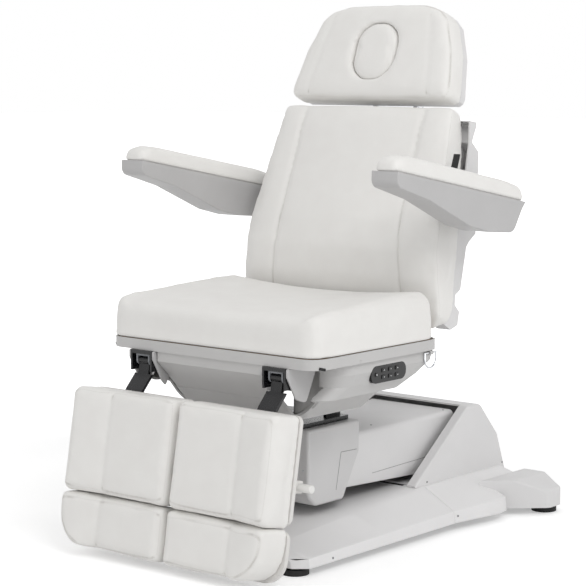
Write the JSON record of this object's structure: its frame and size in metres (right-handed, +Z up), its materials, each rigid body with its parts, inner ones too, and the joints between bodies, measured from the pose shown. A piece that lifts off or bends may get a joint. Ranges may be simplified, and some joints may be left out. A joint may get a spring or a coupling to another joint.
{
  "type": "podiatry chair",
  "caption": "Electric podiatry treatment chair with reclining back, fold-up armrests, headrest with face opening and split leg rests on a lifting base.",
  "frame": {"origin": "on the floor under the middle of the chair", "axes": "+Z up, the sitter faces -Y and the sitter's left hand is on +X"},
  "size_m": [0.8, 1.11, 1.2102],
  "materials": {
    "black_steel": "gloss powder coat",
    "grey_steel": "satin powder coat",
    "grey_cover": "fine moulded texture",
    "white_leather": "smooth upholstery with sewn seams",
    "black_rubber": "matt",
    "chrome": "polished",
    "grey_board": "moulded",
    "seat_wood": "plywood",
    "black_panel": "glossy",
    "white_key": "glossy with white symbols",
    "white_grip": "smooth",
    "motor_housing": "moulded"
  },
  "bodies": {
    "base": {"base_frame": "black_steel", "base_cover_front": "grey_cover", "base_cover_rear": "grey_cover", "tower_cover": "grey_cover", "rear_outrigger": "grey_cover", "levelling_feet": "black_rubber", "control_box": "motor_housing", "power_inlet": "black_panel", "lift_actuator": "motor_housing"},
    "lift_rod": {"lift_actuator_rod": "chrome"},
    "lift": {"lift_arm": "black_steel", "lift_arm_cover": "grey_cover"},
    "link": {"lower_link": "black_steel"},
    "head": {"lift_head_frame": "black_steel", "lift_head_cover": "grey_cover", "tilt_actuator": "motor_housing"},
    "tilt_rod": {"tilt_actuator_rod": "chrome"},
    "seat": {"seat_frame": "black_steel", "seat_shell": "grey_cover", "seat_board": "seat_wood", "seat_cushion": "white_leather", "keypad_bezel": "black_panel", "leg_brackets": "black_steel", "leg_cheeks": "grey_cover", "back_actuator": "motor_housing"},
    "ring": {"d_ring": "chrome"},
    "back_rod": {"back_actuator_rod": "chrome"},
    "back": {"back_frame": "black_steel", "back_shell": "grey_cover", "back_cushion": "white_leather", "back_fittings": "black_rubber"},
    "head_slider": {"headrest_slider": "chrome"},
    "headrest": {"headrest_shell": "grey_cover", "headrest_cushion": "white_leather"},
    "plug": {"headrest_plug": "white_leather"},
    "key_power": {"key_power": "white_key"},
    "key_up_1": {"key_up_1": "white_key"},
    "key_down_1": {"key_down_1": "white_key"},
    "key_up_2": {"key_up_2": "white_key"},
    "key_down_2": {"key_down_2": "white_key"},
    "key_up_3": {"key_up_3": "white_key"},
    "key_down_3": {"key_down_3": "white_key"},
    "armrest_left": {"armrest_moulding_left": "grey_cover", "armrest_pad_left": "white_leather"},
    "swivel_left": {"leg_swivel_left": "grey_steel"},
    "leg_left": {"leg_arm_left": "black_steel", "leg_shell_left": "grey_board", "leg_pad_left": "white_leather"},
    "foot_left": {"foot_shell_left": "grey_board", "foot_pad_left": "white_leather"},
    "lever_left": {"leg_lever_left": "white_grip"},
    "armrest_right": {"armrest_moulding_right": "grey_cover", "armrest_pad_right": "white_leather"},
    "swivel_right": {"leg_swivel_right": "grey_steel"},
    "leg_right": {"leg_arm_right": "black_steel", "leg_shell_right": "grey_board", "leg_pad_right": "white_leather"},
    "foot_right": {"foot_shell_right": "grey_board", "foot_pad_right": "white_leather"},
    "lever_right": {"leg_lever_right": "white_grip"}
  },
  "joints": [
    {"name": "lift", "type": "hinge", "parent": "base", "child": "lift", "pos_m": [0, 0.359, 0.185], "axis": [-1, 0, 0], "range_deg": [0, 36]},
    {"name": "lift_link", "type": "hinge", "parent": "base", "child": "link", "pos_m": [0, 0.359, 0.13], "axis": [-1, 0, 0], "range_deg": [0, 36]},
    {"name": "lift_head", "type": "hinge", "parent": "lift", "child": "head", "pos_m": [0, -0.106, 0.185], "axis": [-1, 0, 0], "range_deg": [-36, 0]},
    {"name": "lift_rod", "type": "slide", "parent": "base", "child": "lift_rod", "axis": [0, -1, 0], "range_m": [0, 0.07775]},
    {"name": "seat_tilt", "type": "hinge", "parent": "head", "child": "seat", "pos_m": [0, -0.054, 0.334], "axis": [-1, 0, 0], "range_deg": [0, 12]},
    {"name": "tilt_rod", "type": "slide", "parent": "head", "child": "tilt_rod", "axis": [0, 0, 1], "range_m": [0, 0.02559]},
    {"name": "back_recline", "type": "hinge", "parent": "seat", "child": "back", "pos_m": [0, 0.094, 0.44], "axis": [-1, 0, 0], "range_deg": [0, 68]},
    {"name": "back_rod", "type": "slide", "parent": "seat", "child": "back_rod", "axis": [0, -1, 0], "range_m": [0, 0.05418]},
    {"name": "headrest_height", "type": "slide", "parent": "back", "child": "head_slider", "axis": [0, 0.342, 0.9397], "range_m": [0, 0.1]},
    {"name": "headrest_tilt", "type": "hinge", "parent": "head_slider", "child": "headrest", "pos_m": [0, 0.29118, 1.011], "axis": [-1, 0, 0], "range_deg": [-10, 35]},
    {"name": "face_plug", "type": "slide", "parent": "headrest", "child": "plug", "axis": [0, -0.9397, 0.342], "range_m": [0, 0.06]},
    {"name": "ring_swing", "type": "hinge", "parent": "seat", "child": "ring", "pos_m": [0.295, 0.033, 0.436], "axis": [0, -1, 0], "range_deg": [0, 85]},
    {"name": "key_power_press", "type": "slide", "parent": "seat", "child": "key_power", "axis": [-1, 0, 0], "range_m": [0, 0.001], "stiffness_N_per_m": 500},
    {"name": "key_up_1_press", "type": "slide", "parent": "seat", "child": "key_up_1", "axis": [-1, 0, 0], "range_m": [0, 0.001], "stiffness_N_per_m": 500},
    {"name": "key_down_1_press", "type": "slide", "parent": "seat", "child": "key_down_1", "axis": [-1, 0, 0], "range_m": [0, 0.001], "stiffness_N_per_m": 500},
    {"name": "key_up_2_press", "type": "slide", "parent": "seat", "child": "key_up_2", "axis": [-1, 0, 0], "range_m": [0, 0.001], "stiffness_N_per_m": 500},
    {"name": "key_down_2_press", "type": "slide", "parent": "seat", "child": "key_down_2", "axis": [-1, 0, 0], "range_m": [0, 0.001], "stiffness_N_per_m": 500},
    {"name": "key_up_3_press", "type": "slide", "parent": "seat", "child": "key_up_3", "axis": [-1, 0, 0], "range_m": [0, 0.001], "stiffness_N_per_m": 500},
    {"name": "key_down_3_press", "type": "slide", "parent": "seat", "child": "key_down_3", "axis": [-1, 0, 0], "range_m": [0, 0.001], "stiffness_N_per_m": 500},
    {"name": "armrest_fold_left", "type": "hinge", "parent": "back", "child": "armrest_left", "pos_m": [0, 0.20917, 0.74181], "axis": [-1, 0, 0], "range_deg": [0, 95]},
    {"name": "leg_swing_left", "type": "hinge", "parent": "seat", "child": "swivel_left", "pos_m": [0.193, -0.366, 0.418], "axis": [0, 0, 1], "range_deg": [0, 20]},
    {"name": "leg_raise_left", "type": "hinge", "parent": "swivel_left", "child": "leg_left", "pos_m": [0.193, -0.366, 0.418], "axis": [-1, 0, 0], "range_deg": [0, 80]},
    {"name": "foot_length_left", "type": "slide", "parent": "leg_left", "child": "foot_left", "axis": [0, -0.1736, -0.9848], "range_m": [0, 0.12]},
    {"name": "lever_push_left", "type": "slide", "parent": "leg_left", "child": "lever_left", "axis": [-1, 0, 0], "range_m": [0, 0.008], "stiffness_N_per_m": 600},
    {"name": "armrest_fold_right", "type": "hinge", "parent": "back", "child": "armrest_right", "pos_m": [0, 0.20917, 0.74181], "axis": [-1, 0, 0], "range_deg": [0, 95]},
    {"name": "leg_swing_right", "type": "hinge", "parent": "seat", "child": "swivel_right", "pos_m": [-0.193, -0.366, 0.418], "axis": [0, 0, -1], "range_deg": [0, 20]},
    {"name": "leg_raise_right", "type": "hinge", "parent": "swivel_right", "child": "leg_right", "pos_m": [-0.193, -0.366, 0.418], "axis": [-1, 0, 0], "range_deg": [0, 80]},
    {"name": "foot_length_right", "type": "slide", "parent": "leg_right", "child": "foot_right", "axis": [0, -0.1736, -0.9848], "range_m": [0, 0.12]},
    {"name": "lever_push_right", "type": "slide", "parent": "leg_right", "child": "lever_right", "axis": [1, 0, 0], "range_m": [0, 0.008], "stiffness_N_per_m": 600}
  ],
  "couplings": [
    {"joint": "lift_link", "follows": "lift", "ratio": 1},
    {"joint": "lift_head", "follows": "lift", "ratio": -1},
    {"joint": "lift_rod", "follows": "lift", "m_per_rad": 0.12295},
    {"joint": "tilt_rod", "follows": "seat_tilt", "m_per_rad": 0.11978},
    {"joint": "back_rod", "follows": "back_recline", "m_per_rad": 0.045232}
  ]
}
